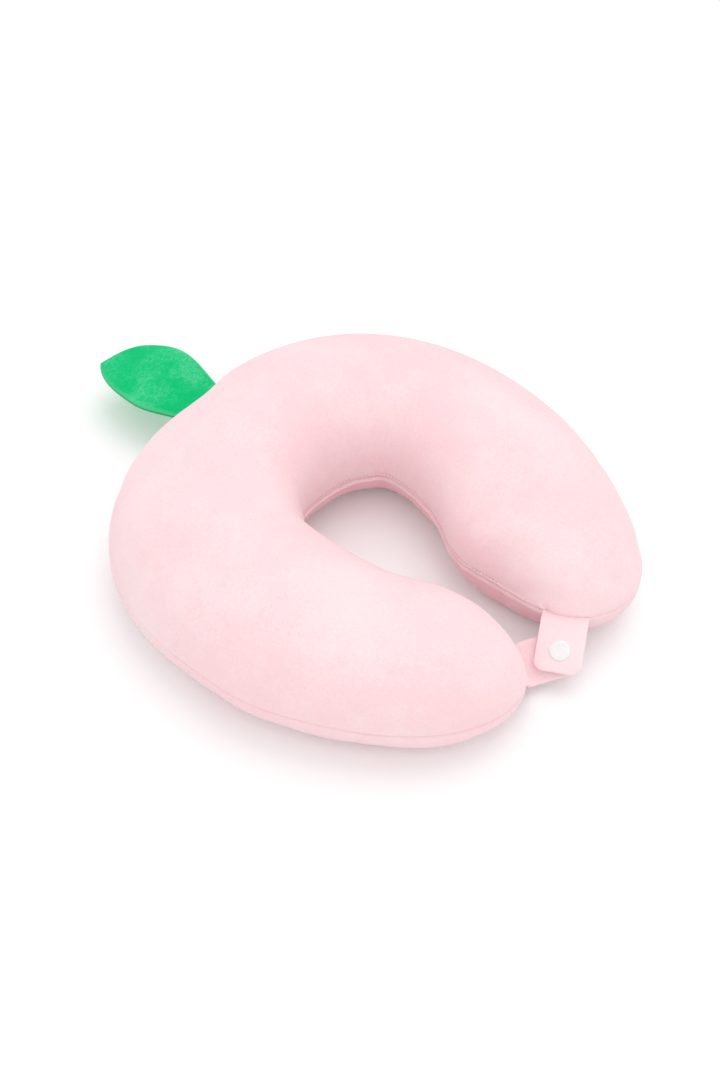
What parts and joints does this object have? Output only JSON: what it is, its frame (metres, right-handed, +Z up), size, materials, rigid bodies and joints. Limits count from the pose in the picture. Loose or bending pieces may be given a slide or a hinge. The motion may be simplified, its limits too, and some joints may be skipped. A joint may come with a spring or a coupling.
{
  "type": "u shaped neck pillow",
  "caption": "U-shaped travel neck pillow with a domed velour roll, a plush leaf at the back and snap tabs that close its mouth.",
  "frame": {"origin": "middle of the underside, on the floor that the pillow lies on, at the middle of its overall box", "axes": "+Z up through the pillow; +Y from the mouth towards the leaf, the longest way; +X to the wearer's left when the leaf is behind the neck"},
  "size_m": [0.3012, 0.3951, 0.0948],
  "materials": {
    "velour": "short-pile velour, matt with a soft sheen",
    "liner": "thin woven liner",
    "foam": "open-cell foam, matt",
    "leaf_plush": "short plush, matt with a soft sheen",
    "wadding": "loose fibre wadding",
    "snap_plastic": "smooth and glossy",
    "zip_tape": "woven tape",
    "zip_plastic": "moulded, half gloss"
  },
  "bodies": {
    "pillow": {"cover_top": "velour", "cover_bottom": "velour", "liner_top": "liner", "liner_bottom": "liner", "foam_core": "foam", "leaf_root": "leaf_plush", "right_tab_root": "velour", "left_tab_root": "velour", "zip_tape_upper": "zip_tape", "zip_tape_lower": "zip_tape", "zip_teeth_upper": "zip_plastic", "zip_teeth_lower": "zip_plastic", "zip_top_stop": "zip_plastic", "zip_bottom_stop": "zip_plastic"},
    "right_tab": {"right_tab_face": "velour", "right_tab_lining": "velour", "snap_cap": "snap_plastic", "snap_socket": "snap_plastic"},
    "left_tab": {"left_tab_face": "velour", "left_tab_lining": "velour", "snap_stud": "snap_plastic", "snap_back_cap": "snap_plastic"},
    "leaf": {"leaf_upper": "leaf_plush", "leaf_lower": "leaf_plush", "leaf_wadding": "wadding"},
    "zip_slider": {"zip_slider": "zip_plastic"},
    "zip_pull": {"zip_pull": "zip_plastic"}
  },
  "joints": [
    {"name": "right_tab_fold", "type": "hinge", "parent": "pillow", "child": "right_tab", "pos_m": [0.02211, -0.17273, 0.0273], "axis": [-0.519, 0.8548, 0], "range_deg": [0, 115]},
    {"name": "left_tab_fold", "type": "hinge", "parent": "pillow", "child": "left_tab", "pos_m": [-0.00264, -0.17018, 0.01125], "axis": [0.43, 0.8088, 0.4012], "range_deg": [0, 20]},
    {"name": "leaf_fold", "type": "hinge", "parent": "pillow", "child": "leaf", "pos_m": [0.00795, 0.11491, 0.0273], "axis": [1, 0.0007, 0], "range_deg": [-15, 60]},
    {"name": "zip_run", "type": "hinge", "parent": "pillow", "child": "zip_slider", "pos_m": [0.01904, -0.02106, 0.0273], "axis": [0, 0, 1], "range_deg": [-75.5, 0]},
    {"name": "zip_pull_swing", "type": "hinge", "parent": "zip_slider", "child": "zip_pull", "pos_m": [0.04273, 0.11138, 0.0273], "axis": [0, 0, 1], "range_deg": [0, 120]}
  ]
}
